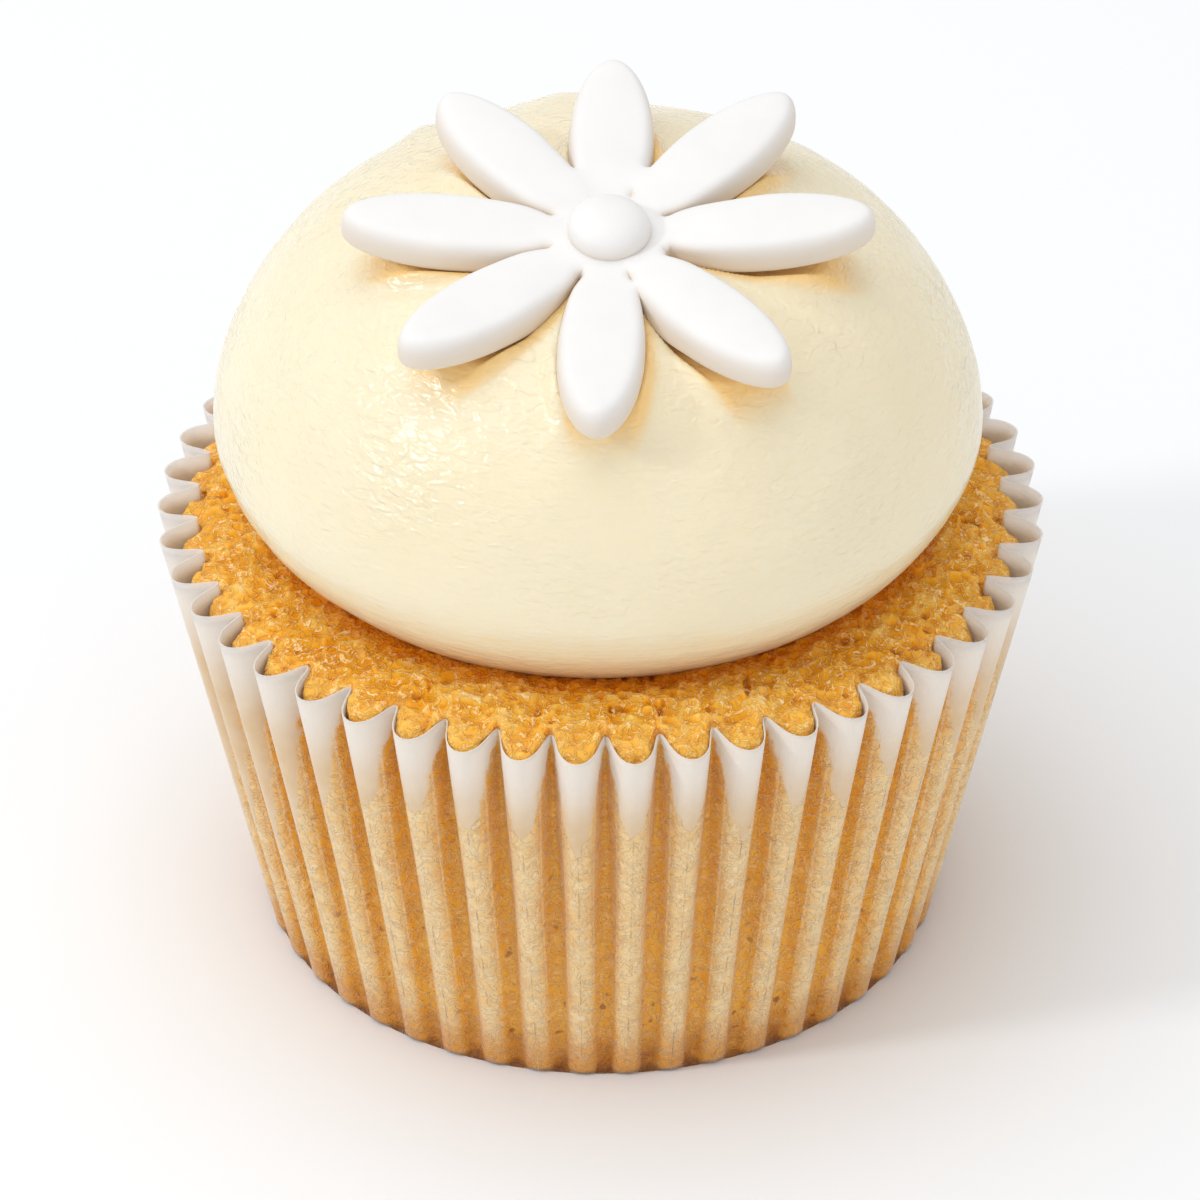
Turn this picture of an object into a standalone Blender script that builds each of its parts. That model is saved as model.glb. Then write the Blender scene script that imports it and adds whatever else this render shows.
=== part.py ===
"""A cupcake in its pleated paper case, with a smooth dome of icing and a white sugar daisy.

Metres, +Z up. The origin is the middle of the case's underside. The front is towards -Y.
"""
import math
import random

import bmesh
import bpy
import numpy as np
from mathutils import Euler, Matrix, Vector

# Space left between two pieces that touch on the real cake
TOUCH_GAP = 0.0003

# Paper case: 46 pleats between a flat round base and a flared rim
PLEATS = 46
POINTS_PER_PLEAT = 8
BASE_RADIUS = 0.0250
RIM_RADIUS = 0.03202
WALL_SLANT = 0.03378
BASE_PLEAT_DEPTH = 0.0008
RIM_PLEAT_DEPTH = 0.0028
RIDGE_WIDENING = 0.25
SIDE_STEEPENING = 0.20
FIRST_RIDGE_ANGLE = -0.056
PLEAT_CROWDING = 0.031
PAPER_WALL = 0.00035
PAPER_FLOOR = 0.0004
BASE_FOLD_HEIGHT = 0.0005
BASE_FOLD_INSET = 0.0003

# Sponge: fills the case, and shrinks back from the ridges near the top
SPONGE_TOP = 0.0340
SPONGE_EDGE_HEIGHT = 0.0322
SPONGE_SHOULDER_HEIGHT = 0.0329
SPONGE_SHOULDER_INSET = 0.0009
SPONGE_FLAT_RADIUS = 0.0226
TONGUE_LENGTH = 0.0085
RIDGE_FILL_AT_TOP = 0.50
CRUMB_HEIGHT = 0.00028
CRUST_RINGS = 6
CRUMB_SEED = 11

# Icing: a turned dome, widest a third of the way up, set a little off the case's axis
ICING_CENTRE = (-0.00019, 0.00012)
ICING_RADIUS = 0.02749
ICING_WAIST = 0.04095
ICING_RISE = 0.01859
ICING_DROP = 0.01508
UPPER_SIDE_POWER = 2.716
UPPER_TOP_POWER = 1.862
LOWER_POWER = 1.741
ICING_SEGMENTS = 56
ICING_UPPER_RINGS = 14
ICING_LOWER_RINGS = 5
CROWN_FLAT = 0.3

# Daisy: eight petals round a hub, pressed into the dome and tilted towards the front
# Petals run clockwise from the back: length, turn from an even spread, lift of the tip over the hub
DAISY_HUB_UNDERSIDE = (0.00051, -0.00645, 0.05795)
DAISY_TILT_DEG = 10.9
DAISY_LEAN_DEG = 1.6
PETALS = (
    (0.0188, -0.8, -0.0002),
    (0.0197, 4.8, 0.0002),
    (0.0186, 5.5, 0.0012),
    (0.0183, -4.0, 0.0013),
    (0.0186, -2.4, 0.0004),
    (0.0185, -4.3, 0.0007),
    (0.0186, -3.5, 0.0006),
    (0.0181, -4.5, 0.0006),
)
PETAL_HALF_WIDTH = 0.00302
PETAL_MIDDLE = 0.58
PETAL_THICKNESS = 0.0026
PETAL_SIDE_HEIGHT = 0.0016
PETAL_STATIONS = 9
HUB_RADIUS = 0.0043
HUB_THICKNESS = 0.00225
HUB_TOP_RATIO = 0.94
HUB_RAISE = 0.00005
HUB_SEGMENTS = 24
BUTTON_RADIUS = 0.0029
BUTTON_FOOT_RATIO = 0.93
BUTTON_HEIGHT = 0.0022
BUTTON_FOOT_SHARE = 0.25
BUTTON_SEGMENTS = 24
BUTTON_RINGS = 5
PRESS_DEPTH = 0.0005

# A petal's cross-section from its underside round to its top: shares of the half width and of the height
PETAL_SECTION = (
    (-0.92, 0.0), (0.92, 0.0), (1.0, 0.12), (1.0, 0.55), (0.80, 0.86),
    (0.40, 0.97), (0.0, 1.0), (-0.40, 0.97), (-0.80, 0.86), (-1.0, 0.55), (-1.0, 0.12),
)

# Colours, linear
PAPER_COLOUR = (0.80, 0.58, 0.33, 1.0)
SPONGE_COLOUR = (0.66, 0.36, 0.09, 1.0)
ICING_COLOUR = (0.90, 0.82, 0.62, 1.0)
SUGAR_COLOUR = (0.93, 0.92, 0.91, 1.0)


def clear_scene():
    """Removes the objects that a new file opens with."""
    for thing in list(bpy.data.objects):
        bpy.data.objects.remove(thing, do_unlink=True)


def food_material(name, colour, roughness):
    """A Principled surface that isn't metal."""
    material = bpy.data.materials.new(name)
    material.use_nodes = True
    shader = material.node_tree.nodes["Principled BSDF"]
    shader.inputs["Base Color"].default_value = colour
    shader.inputs["Roughness"].default_value = roughness
    shader.inputs["Metallic"].default_value = 0.0
    return material


def link_mesh(name, mesh, material):
    """Puts a mesh in the scene as a named object with its own material."""
    thing = bpy.data.objects.new(name, mesh)
    bpy.context.scene.collection.objects.link(thing)
    mesh.materials.append(material)
    return thing


def strip_faces(lower, upper):
    """Quads between two rings of equal count, facing outwards when the rings run anticlockwise upwards."""
    count = len(lower)
    return [(lower[i], lower[(i + 1) % count], upper[(i + 1) % count], upper[i]) for i in range(count)]


def thinning_faces(lower, upper):
    """Triangles from a ring to one with half as many points, which takes up every second point."""
    faces = []
    half = len(upper)
    for i in range(half):
        here, middle, after = lower[2 * i], lower[2 * i + 1], lower[(2 * i + 2) % len(lower)]
        inner, inner_after = upper[i], upper[(i + 1) % half]
        faces.append((here, middle, inner))
        faces.append((middle, inner_after, inner))
        faces.append((middle, after, inner_after))
    return faces


def solid_from_rings(name, rings):
    """A closed mesh through rings of points, each end shut by one flat face."""
    points = []
    ids = []
    for ring in rings:
        start = len(points)
        points.extend(tuple(float(c) for c in p) for p in ring)
        ids.append(list(range(start, start + len(ring))))
    faces = [tuple(reversed(ids[0]))]
    for lower, upper in zip(ids, ids[1:]):
        same = len(lower) == len(upper)
        faces.extend(strip_faces(lower, upper) if same else thinning_faces(lower, upper))
    faces.append(tuple(ids[-1]))
    mesh = bpy.data.meshes.new(name)
    mesh.from_pydata(points, [], faces)
    mesh.validate()
    return mesh


def pleat_steps():
    """The fold parameter of every point round the case: 0 on a ridge, pi in a valley."""
    return np.arange(PLEATS * POINTS_PER_PLEAT) * (2 * math.pi / POINTS_PER_PLEAT)


def pleated_ring(fraction, inset, ridge_fill=1.0):
    """Points round the pleated wall, at a fraction of the slant from the base to the rim.

    Each point lies on a straight line up the paper. Ridges and valleys have the same slant length, so
    the rim dips at each ridge. The inset is taken square to the folds in plan. The ridge fill scales
    how far the ridges stand out from the valleys.
    """
    step = pleat_steps()

    def plan(t):
        across = t + RIDGE_WIDENING * np.sin(t) + SIDE_STEEPENING * np.sin(2 * t)
        turn = FIRST_RIDGE_ANGLE + across / PLEATS
        angle = turn - PLEAT_CROWDING * np.sin(2 * turn)
        base = BASE_RADIUS - BASE_PLEAT_DEPTH * (1 - np.cos(t)) / 2
        rim = RIM_RADIUS - RIM_PLEAT_DEPTH * (1 - np.cos(t)) / 2
        ridge_only = (1 - ridge_fill) * (1 + np.cos(t)) / 2
        depth = BASE_PLEAT_DEPTH + (RIM_PLEAT_DEPTH - BASE_PLEAT_DEPTH) * fraction
        radius = base + (rim - base) * fraction - depth * ridge_only
        height = np.sqrt(WALL_SLANT ** 2 - (rim - base) ** 2) * fraction
        return radius * np.sin(angle), -radius * np.cos(angle), height

    small = 1e-4
    x, y, z = plan(step)
    x_before, y_before, _ = plan(step - small)
    x_after, y_after, _ = plan(step + small)
    run = np.hypot(x_after - x_before, y_after - y_before)
    inward_x = -(y_after - y_before) / run
    inward_y = (x_after - x_before) / run
    return np.stack([x + inset * inward_x, y + inset * inward_y, z], axis=1)


def round_ring(radius, height, angles):
    """Points on a level circle about the case's axis, at angles from the front towards the right."""
    level = np.full(len(angles), height)
    return np.stack([radius * np.sin(angles), -radius * np.cos(angles), level], axis=1)


def ring_angles(ring):
    """The angle of each point of a ring from the front towards the right."""
    return np.arctan2(ring[:, 0], -ring[:, 1])


def make_paper_case():
    """The pleated case: one sheet with a flat base, a small fold and a flared wall."""
    fold = pleated_ring(BASE_FOLD_HEIGHT / WALL_SLANT, 0.0)
    base = round_ring(BASE_RADIUS - BASE_FOLD_INSET, 0.0, ring_angles(fold))
    rim_outside = pleated_ring(1.0, 0.0)
    rim_inside = pleated_ring(1.0, PAPER_WALL)
    floor_edge = pleated_ring(PAPER_FLOOR / WALL_SLANT, PAPER_WALL + BASE_FOLD_INSET / 2)
    floor_edge[:, 2] = PAPER_FLOOR
    rings = [base, fold, rim_outside, rim_inside, floor_edge]
    mesh = solid_from_rings("paper_case", rings)
    return link_mesh("paper_case", mesh, food_material("paper", PAPER_COLOUR, 0.55))


def make_sponge():
    """The sponge: pleated by its case, with a craggy crust where it shows round the icing."""
    gap = PAPER_WALL + TOUCH_GAP
    bottom = pleated_ring((PAPER_FLOOR + TOUCH_GAP) / WALL_SLANT, gap + BASE_FOLD_INSET / 2)
    bottom[:, 2] = PAPER_FLOOR + TOUCH_GAP
    belly = pleated_ring((SPONGE_EDGE_HEIGHT - TONGUE_LENGTH) / WALL_SLANT, gap)
    edge = pleated_ring(SPONGE_EDGE_HEIGHT / WALL_SLANT, gap, ridge_fill=RIDGE_FILL_AT_TOP)
    shoulder = pleated_ring(
        SPONGE_SHOULDER_HEIGHT / WALL_SLANT, gap + SPONGE_SHOULDER_INSET, ridge_fill=RIDGE_FILL_AT_TOP
    )
    shoulder[:, 2] = SPONGE_SHOULDER_HEIGHT
    rings = [bottom, belly, edge, shoulder]
    draw = random.Random(CRUMB_SEED)
    angles = ring_angles(shoulder)[::2]
    outer_radius = np.hypot(shoulder[:, 0], shoulder[:, 1]).min() - SPONGE_SHOULDER_INSET / 2
    for i in range(CRUST_RINGS + 1):
        inwards = i / CRUST_RINGS
        radius = outer_radius + (SPONGE_FLAT_RADIUS - outer_radius) * inwards
        height = SPONGE_SHOULDER_HEIGHT + (SPONGE_TOP - SPONGE_SHOULDER_HEIGHT) * math.sin(inwards * math.pi / 2)
        ring = round_ring(radius, height, angles)
        if i < CRUST_RINGS:
            ring[:, 2] += np.array([draw.uniform(-1, 1) for _ in angles]) * CRUMB_HEIGHT * (1 - inwards ** 4)
        rings.append(ring)
    mesh = solid_from_rings("sponge", rings)
    return link_mesh("sponge", mesh, food_material("sponge_crumb", SPONGE_COLOUR, 0.75))


def icing_profile():
    """Radius and height from the underside's edge to near the crown, along two joined superellipses."""
    underside = SPONGE_TOP + TOUCH_GAP
    lowest = math.asin(((ICING_WAIST - underside) / ICING_DROP) ** (LOWER_POWER / 2))
    profile = []
    for i in range(ICING_LOWER_RINGS):
        turn = lowest * (1 - i / ICING_LOWER_RINGS)
        radius = ICING_RADIUS * math.cos(turn) ** (2 / LOWER_POWER)
        profile.append((radius, ICING_WAIST - ICING_DROP * math.sin(turn) ** (2 / LOWER_POWER)))
    for i in range(ICING_UPPER_RINGS):
        turn = math.pi / 2 * i / (ICING_UPPER_RINGS - 1 + CROWN_FLAT)
        radius = ICING_RADIUS * math.cos(turn) ** (2 / UPPER_SIDE_POWER)
        profile.append((radius, ICING_WAIST + ICING_RISE * math.sin(turn) ** (2 / UPPER_TOP_POWER)))
    return profile


def daisy_turn():
    """The flower's tilt towards the front and its lean towards the right."""
    return Euler((math.radians(DAISY_TILT_DEG), math.radians(DAISY_LEAN_DEG), 0.0))


def pressed_flat(ring):
    """Moves points that would reach the flower's underside down to a plane just under it."""
    normal = np.array(daisy_turn().to_matrix() @ Vector((0, 0, 1)))
    over = (ring - np.array(DAISY_HUB_UNDERSIDE)) @ normal + PRESS_DEPTH
    return ring - np.maximum(over, 0.0)[:, None] * normal


def make_icing():
    """The icing: the profile turned about its own upright axis, pressed flat where the flower lies."""
    angles = np.arange(ICING_SEGMENTS) * (2 * math.pi / ICING_SEGMENTS)
    offset = np.array([ICING_CENTRE[0], ICING_CENTRE[1], 0.0])
    rings = [pressed_flat(round_ring(r, z, angles) + offset) for r, z in icing_profile()]
    mesh = solid_from_rings("icing", rings)
    return link_mesh("icing", mesh, food_material("icing_cream", ICING_COLOUR, 0.35))


def petal_mesh(length):
    """One petal along +X from the hub, on z = 0: an ellipse in plan, with upright sides and a pillowed top."""
    half_length = length * (1 - PETAL_MIDDLE)
    count = len(PETAL_SECTION)
    shape = bmesh.new()
    rings = []
    for i in range(PETAL_STATIONS):
        turn = math.pi * (i + 0.5) / PETAL_STATIONS
        along = length * PETAL_MIDDLE - half_length * math.cos(turn)
        width = PETAL_HALF_WIDTH * math.sin(turn)
        height = PETAL_SIDE_HEIGHT + (PETAL_THICKNESS - PETAL_SIDE_HEIGHT) * math.sin(turn)
        rings.append([shape.verts.new((along, width * across, height * up)) for across, up in PETAL_SECTION])
    for first, second in zip(rings, rings[1:]):
        for i in range(count):
            j = (i + 1) % count
            shape.faces.new((first[i], second[i], second[j], first[j]))
    inner_end = shape.verts.new((length * PETAL_MIDDLE - half_length, 0.0, PETAL_SIDE_HEIGHT / 2))
    outer_end = shape.verts.new((length, 0.0, PETAL_SIDE_HEIGHT / 2))
    for i in range(count):
        j = (i + 1) % count
        shape.faces.new((rings[0][j], inner_end, rings[0][i]))
        shape.faces.new((rings[-1][i], outer_end, rings[-1][j]))
    bmesh.ops.recalc_face_normals(shape, faces=shape.faces)
    mesh = bpy.data.meshes.new("petal")
    shape.to_mesh(mesh)
    shape.free()
    return mesh


def hub_mesh():
    """The round web of sugar that joins the petals."""
    shape = bmesh.new()
    bmesh.ops.create_cone(
        shape, cap_ends=True, segments=HUB_SEGMENTS, radius1=HUB_RADIUS, radius2=HUB_RADIUS * HUB_TOP_RATIO,
        depth=HUB_THICKNESS, matrix=Matrix.Translation((0, 0, HUB_RAISE + HUB_THICKNESS / 2))
    )
    mesh = bpy.data.meshes.new("daisy_petals")
    shape.to_mesh(mesh)
    shape.free()
    return mesh


def make_daisy_petals(pivot):
    """Eight petals fused to the hub by one Boolean union."""
    daisy = link_mesh("daisy_petals", hub_mesh(), food_material("sugar", SUGAR_COLOUR, 0.45))
    petals = bpy.data.collections.new("loose_petals")
    bpy.context.scene.collection.children.link(petals)
    for i, (length, turn, lift) in enumerate(PETALS):
        petal = bpy.data.objects.new(f"petal_{i + 1}", petal_mesh(length))
        direction = math.radians(90 - 360 / len(PETALS) * i + turn)
        raised = Matrix.Rotation(-math.atan(lift / length), 4, "Y")
        petal.data.transform(Matrix.Rotation(direction, 4, "Z") @ raised)
        petals.objects.link(petal)
    union = daisy.modifiers.new("fuse_petals", "BOOLEAN")
    union.operation = "UNION"
    union.operand_type = "COLLECTION"
    union.collection = petals
    union.solver = "EXACT"
    bpy.context.view_layer.update()
    fused = bpy.data.meshes.new_from_object(daisy.evaluated_get(bpy.context.evaluated_depsgraph_get()))
    daisy.modifiers.clear()
    daisy.data = fused
    fused.name = "daisy_petals"
    for petal in list(petals.objects):
        bpy.data.objects.remove(petal, do_unlink=True)
    bpy.data.collections.remove(petals)
    daisy.parent = pivot
    return daisy


def make_daisy_centre(pivot):
    """The round button pressed on the middle of the daisy: upright foot, domed top."""
    angles = np.arange(BUTTON_SEGMENTS) * (2 * math.pi / BUTTON_SEGMENTS)
    foot = HUB_RAISE + HUB_THICKNESS + TOUCH_GAP
    rings = [round_ring(BUTTON_RADIUS * BUTTON_FOOT_RATIO, foot, angles)]
    for i in range(BUTTON_RINGS):
        turn = math.pi / 2 * i / BUTTON_RINGS
        rise = BUTTON_FOOT_SHARE + (1 - BUTTON_FOOT_SHARE) * math.sin(turn)
        rings.append(round_ring(BUTTON_RADIUS * math.cos(turn), foot + BUTTON_HEIGHT * rise, angles))
    mesh = solid_from_rings("daisy_centre", rings)
    button = link_mesh("daisy_centre", mesh, food_material("sugar_button", SUGAR_COLOUR, 0.42))
    button.parent = pivot
    return button


def make_daisy():
    """The daisy on its pivot: an empty at the middle of the hub's underside, tilted as the flower lies."""
    pivot = bpy.data.objects.new("daisy_pivot", None)
    bpy.context.scene.collection.objects.link(pivot)
    pivot.location = Vector(DAISY_HUB_UNDERSIDE)
    pivot.rotation_euler = daisy_turn()
    return [make_daisy_petals(pivot), make_daisy_centre(pivot)]


def main():
    clear_scene()
    solids = [make_paper_case(), make_sponge(), make_icing()] + make_daisy()
    for solid in solids:
        solid.data.shade_smooth()
        solid.data.set_sharp_from_angle(angle=math.radians(40))


main()
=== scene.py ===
import math

import bmesh
import bpy
import numpy as np
from mathutils import Euler, Matrix, Vector


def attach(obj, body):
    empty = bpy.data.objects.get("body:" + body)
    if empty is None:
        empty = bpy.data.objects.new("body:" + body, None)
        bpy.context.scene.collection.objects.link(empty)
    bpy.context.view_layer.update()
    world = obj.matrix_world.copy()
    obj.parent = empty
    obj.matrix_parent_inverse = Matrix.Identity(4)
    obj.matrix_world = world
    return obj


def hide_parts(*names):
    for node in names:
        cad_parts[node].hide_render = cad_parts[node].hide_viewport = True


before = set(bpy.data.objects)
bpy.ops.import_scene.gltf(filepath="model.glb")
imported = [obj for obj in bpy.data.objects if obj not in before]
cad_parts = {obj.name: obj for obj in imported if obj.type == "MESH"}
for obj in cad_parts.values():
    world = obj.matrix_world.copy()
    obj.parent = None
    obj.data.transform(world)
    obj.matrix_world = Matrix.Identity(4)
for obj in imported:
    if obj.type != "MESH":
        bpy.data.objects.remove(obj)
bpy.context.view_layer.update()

# Paper case, as in the CAD
PLEATS = 46
BASE_RADIUS = 0.0250
RIM_RADIUS = 0.03202
WALL_SLANT = 0.03378
BASE_PLEAT_DEPTH = 0.0008
RIM_PLEAT_DEPTH = 0.0028
RIDGE_WIDENING = 0.25
SIDE_STEEPENING = 0.20
FIRST_RIDGE_ANGLE = -0.056
PLEAT_CROWDING = 0.031
BASE_FOLD_HEIGHT = 0.0005
BASE_FOLD_INSET = 0.0003

# Real paper is thinner than its CAD solid, and its valleys are sharper at the rim
PAPER_THICKNESS = 0.00010
RIM_WIDENING = 0.42
PAPER_STEPS_PER_PLEAT = 22
PAPER_OUTER_ROWS = 56
PAPER_INNER_ROWS = 26

# White tongues on the ridges, and how much longer they grow to each side, as shares of the length
TONGUE_LENGTH = 0.0085
TONGUE_UNEVENNESS = 0.16
LEFT_TONGUE_GROWTH = 1.70
RIGHT_TONGUE_GROWTH = 0.40

# Sponge, as in the CAD, with its crumb
SPONGE_TOP = 0.0340
SPONGE_EDGE_HEIGHT = 0.0322
SPONGE_ROLL = 0.0009
SPONGE_ROLL_HEIGHT = 0.0007
SPONGE_FLAT_RADIUS = 0.0226
SPONGE_INSET = 0.00009
RIDGE_FILL_AT_TOP = 0.55
FRONT_FILL = 0.42
FRONT_LIP = 0.0013
SPONGE_STEPS_PER_PLEAT = 24
SPONGE_LOW_ROWS = 6
SPONGE_WALL_ROWS = 12
CRUST_ROWS = 58
CRUMB_HEIGHT = 0.00040

# The most that the crumb may stand out: on the wall, and how much more on the crust
WALL_ROOM = 0.00003
CRUST_ROOM = 0.0008

# Icing, as in the CAD, and how far it lies below the petals
ICING_CENTRE = (-0.00019, 0.00012)
ICING_RADIUS = 0.02749
ICING_WAIST = 0.04095
ICING_RISE = 0.01859
ICING_DROP = 0.01508
UPPER_SIDE_POWER = 2.716
UPPER_TOP_POWER = 1.862
LOWER_POWER = 1.741
ICING_FOOT = 0.0337
ICING_CLEARANCE = 0.00004
ICING_COLUMNS = 520
ICING_ROWS = 178
# How far the painted shadow of the petals on the icing is shifted, to the right and the front
PETAL_SHADOW_SHIFT = (0.0005, -0.0004, 0.0)

# Marks in the icing: middle, size along each axis, and height, or depth where it is below 0
ICING_MARKS = (
    ((-0.0026, 0.0190, 0.0560), (0.0026, 0.0060, 0.0030), 0.00055),
    ((-0.0130, 0.0165, 0.0545), (0.0014, 0.0050, 0.0030), 0.00042),
    ((0.0045, 0.0190, 0.0560), (0.0040, 0.0060, 0.0030), -0.00022),
    ((-0.0205, -0.0040, 0.0530), (0.0004, 0.0005, 0.0004), -0.00016),
    ((-0.0125, -0.0215, 0.0490), (0.0004, 0.0005, 0.0004), -0.00016),
)

# Daisy, as in the CAD: petals run clockwise from the back, with length, turn and lift
DAISY_HUB_UNDERSIDE = (0.00051, -0.00645, 0.05795)
DAISY_TILT_DEG = 10.9
DAISY_LEAN_DEG = 1.6
PETALS = (
    (0.0188, -0.8, -0.0002),
    (0.0197, 4.8, 0.0002),
    (0.0186, 5.5, 0.0012),
    (0.0183, -4.0, 0.0013),
    (0.0186, -2.4, 0.0004),
    (0.0185, -4.3, 0.0007),
    (0.0186, -3.5, 0.0006),
    (0.0181, -4.5, 0.0006),
)
PETAL_HALF_WIDTH = 0.00302
PETAL_MIDDLE = 0.58
PETAL_THICKNESS = 0.0026
PETAL_EDGE_TOP = 0.00235
PETAL_SEAM_HEIGHT = 0.0006
PETAL_SEAM_RISE = 0.0010
PETAL_SHOULDER = 0.00100
PETAL_SHOULDER_POWER = 2.9
PETAL_CROWN_REACH = 0.0028
PETAL_UNDER_EDGE = 0.0004
HUB_RADIUS = 0.0043
HUB_THICKNESS = 0.00230
BUTTON_RADIUS = 0.0029
BUTTON_HEIGHT = 0.0022

# How far from the daisy's middle the hub's thickness, and the raised seam of the notches, start and end to fade
HUB_FADE = (0.0020, 0.0085)
NOTCH_FADE = (0.0060, 0.0090)

# Rows and columns of each petal, and how far out all petals share the same rows
PETAL_SHARED_REACH = 0.0085
PETAL_SHARED_ROWS = 30
PETAL_OUTER_ROWS = 28
PETAL_HALF_COLUMNS = 13


# Noise, grids and surfaces as numpy arrays


def lattice(cells, seed):
    """A number from -1 to 1 for every whole-number cell, the same each time for the same seed.

    The three counts are multiplied by large odd numbers, mixed bit by bit and scaled.
    """
    c = cells.astype(np.int64)
    h = (c[..., 0] * 73856093) ^ (c[..., 1] * 19349663) ^ (c[..., 2] * 83492791) ^ (seed * 2654435761)
    h = (h ^ (h >> 13)) * 1274126177
    h = (h ^ (h >> 16)) & 0xFFFFFF
    return h / float(0x7FFFFF) - 1.0


def cloud(points, size, seed):
    """Smooth noise from -1 to 1 with lumps of that size: lattice numbers eased between a cell's corners."""
    p = points / np.asarray(size, dtype=float)
    cell = np.floor(p)
    part = p - cell
    part = part * part * (3 - 2 * part)
    total = np.zeros(points.shape[:-1])
    for corner in np.ndindex(2, 2, 2):
        weight = np.ones(points.shape[:-1])
        for axis, far in enumerate(corner):
            weight = weight * (part[..., axis] if far else 1 - part[..., axis])
        total += weight * lattice(cell + np.array(corner), seed)
    return total


def worms(points, size, seed):
    """Raised squiggly lines from 0 to 1: one where the noise crosses zero, falling off to both sides."""
    return np.clip(1 - 2.2 * np.abs(cloud(points, size, seed)), 0, 1)


def eased(low, high, value):
    """0 below low, 1 above high, 3s^2 - 2s^3 between."""
    s = np.clip((value - low) / (high - low), 0, 1)
    return s * s * (3 - 2 * s)


def grid_quads(rows, columns):
    """Quads of a grid stored row by row and closed round its columns."""
    low = np.arange(rows - 1)[:, None] * columns
    high = low + columns
    here = np.arange(columns)[None, :]
    after = (here + 1) % columns
    return np.stack([low + here, low + after, high + after, high + here], axis=-1).reshape(-1, 4)


def pole_fan(first, columns, pole, flip=False):
    """Triangles from a row of the grid to one closing point."""
    c = np.arange(columns)
    fan = np.stack([first + c, first + (c + 1) % columns, np.full(columns, pole)], axis=-1)
    return fan[:, ::-1] if flip else fan


def grid_normals(points):
    """Outward unit normals of a grid closed round its columns: the cross product of its two directions."""
    across = np.roll(points, -1, axis=1) - np.roll(points, 1, axis=1)
    up = np.gradient(points, axis=0)
    normal = np.cross(across, up)
    return normal / np.maximum(np.linalg.norm(normal, axis=-1, keepdims=True), 1e-12)


def food_piece(name, points, face_lists, material, values=None):
    """A mesh object at the origin, from points, arrays of faces, one material and named numbers per point."""
    mesh = bpy.data.meshes.new(name)
    faces = [face for faces in face_lists for face in faces.tolist()]
    mesh.from_pydata(points.tolist(), [], faces)
    mesh.update()
    for title, numbers in (values or {}).items():
        layer = mesh.attributes.new(title, "FLOAT", "POINT")
        layer.data.foreach_set("value", np.asarray(numbers, dtype=np.float32).ravel())
    mesh.shade_smooth()
    mesh.materials.append(material)
    piece = bpy.data.objects.new(name, mesh)
    bpy.context.scene.collection.objects.link(piece)
    return piece


def pleated_wall(fold, share, inset, ridge_fill=1.0):
    """Points of the pleated wall, for a row of fold parameters and a column of shares of its slant.

    The fold parameter is 0 on a ridge and pi in a valley. With across = t + 0.25 sin t + 0.2 sin 2t, the
    angle from the front is a = first + across / 46, less 0.031 sin 2a, and each point lies on a straight line
    from a wavy circle at the base to a deeper wavy circle at the rim. Over the upper half the ridges open
    out and the valleys close to a sharp fold, with 0.67 sin t + 0.1 sin 2t at the rim. The inset is taken
    square to the folds in plan, and the ridge fill scales how far ridges stand out from valleys.
    """
    opened = eased(0.50, 1.0, share)
    widening = RIDGE_WIDENING + RIM_WIDENING * opened
    steepening = SIDE_STEEPENING * (1 - 0.5 * opened)

    def plan(t):
        across = t + widening * np.sin(t) + steepening * np.sin(2 * t)
        turn = FIRST_RIDGE_ANGLE + across / PLEATS
        angle = turn - PLEAT_CROWDING * np.sin(2 * turn)
        base = BASE_RADIUS - BASE_PLEAT_DEPTH * (1 - np.cos(t)) / 2
        rim = RIM_RADIUS - RIM_PLEAT_DEPTH * (1 - np.cos(t)) / 2
        depth = BASE_PLEAT_DEPTH + (RIM_PLEAT_DEPTH - BASE_PLEAT_DEPTH) * share
        radius = base + (rim - base) * share - depth * (1 - ridge_fill) * (1 + np.cos(t)) / 2
        height = np.sqrt(WALL_SLANT ** 2 - (rim - base) ** 2) * share
        return radius * np.sin(angle), -radius * np.cos(angle), height

    small = 1e-4
    x, y, z = plan(fold)
    x_before, y_before, _ = plan(fold - small)
    x_after, y_after, _ = plan(fold + small)
    run = np.hypot(x_after - x_before, y_after - y_before)
    inward_x = -(y_after - y_before) / run
    inward_y = (x_after - x_before) / run
    return np.stack(np.broadcast_arrays(x + inset * inward_x, y + inset * inward_y, z), axis=-1)


def level_rings(radii, heights, angles):
    """Circles about the case's axis, one row for each radius and height."""
    r = np.asarray(radii)[:, None]
    z = np.asarray(heights)[:, None]
    return np.stack(np.broadcast_arrays(r * np.sin(angles), -r * np.cos(angles), z), axis=-1)


def column_angles(ring):
    """The angle of each point of a ring from the front towards the right."""
    return np.arctan2(ring[:, 0], -ring[:, 1])


# Building blocks for materials


def new_material(name):
    """A node material, with its tree and its Principled shader."""
    material = bpy.data.materials.new(name)
    material.use_nodes = True
    return material, material.node_tree, material.node_tree.nodes["Principled BSDF"]


def put(tree, kind, inputs=None, **settings):
    """A new node with its settings and inputs. An input is a number, a colour or another node's output."""
    node = tree.nodes.new(kind)
    for key, value in settings.items():
        setattr(node, key, value)
    for key, value in (inputs or {}).items():
        if isinstance(value, bpy.types.NodeSocket):
            tree.links.new(value, node.inputs[key])
        else:
            node.inputs[key].default_value = value
    return node


def maths(tree, operation, first, second=0.0):
    """One sum of two numbers or outputs."""
    return put(tree, "ShaderNodeMath", {0: first, 1: second}, operation=operation).outputs[0]


def blended(tree, share, first, second, mode="MIX"):
    """Two colours mixed by a share."""
    node = put(tree, "ShaderNodeMix", data_type="RGBA", blend_type=mode)
    for key, value in ((0, share), (6, first), (7, second)):
        if isinstance(value, bpy.types.NodeSocket):
            tree.links.new(value, node.inputs[key])
        else:
            node.inputs[key].default_value = value
    return node.outputs[2]


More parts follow.
